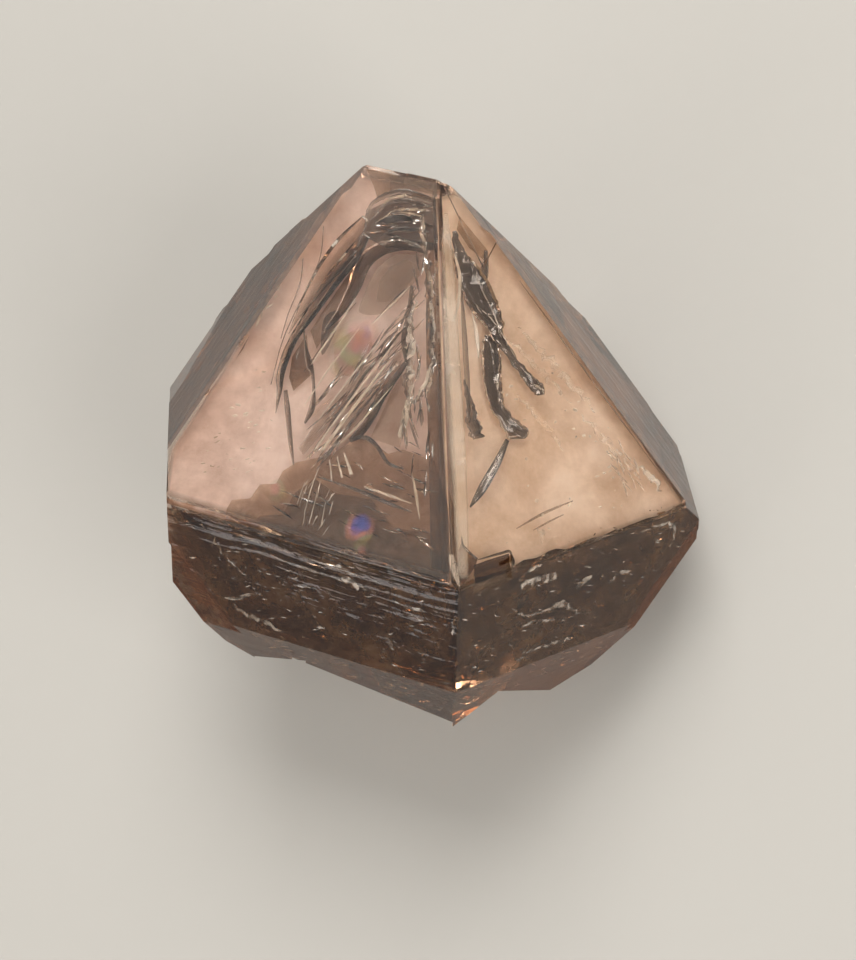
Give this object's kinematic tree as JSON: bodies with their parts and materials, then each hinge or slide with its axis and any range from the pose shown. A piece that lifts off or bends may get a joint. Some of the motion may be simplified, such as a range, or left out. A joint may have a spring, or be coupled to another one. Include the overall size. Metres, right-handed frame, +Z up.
{
  "type": "herkimer diamond quartz crystal",
  "caption": "Doubly terminated smoky quartz crystal with stepped rhombohedral faces and a short prism, lying on one lower face.",
  "frame": {"origin": "centre of the bounding box in X and Y, at the plane of the face it rests on", "axes": "+Z up, the outward normal of the flat top face; the crystal's c axis leans up and back towards +Y; +X to the right when looking along +Y"},
  "size_m": [0.0642, 0.059, 0.0374],
  "materials": {
    "smoky_quartz": "natural crystal faces, see-through, smoky beige with inclusions"
  },
  "bodies": {
    "root": {"herkimer_crystal": "smoky_quartz"}
  },
  "joints": []
}
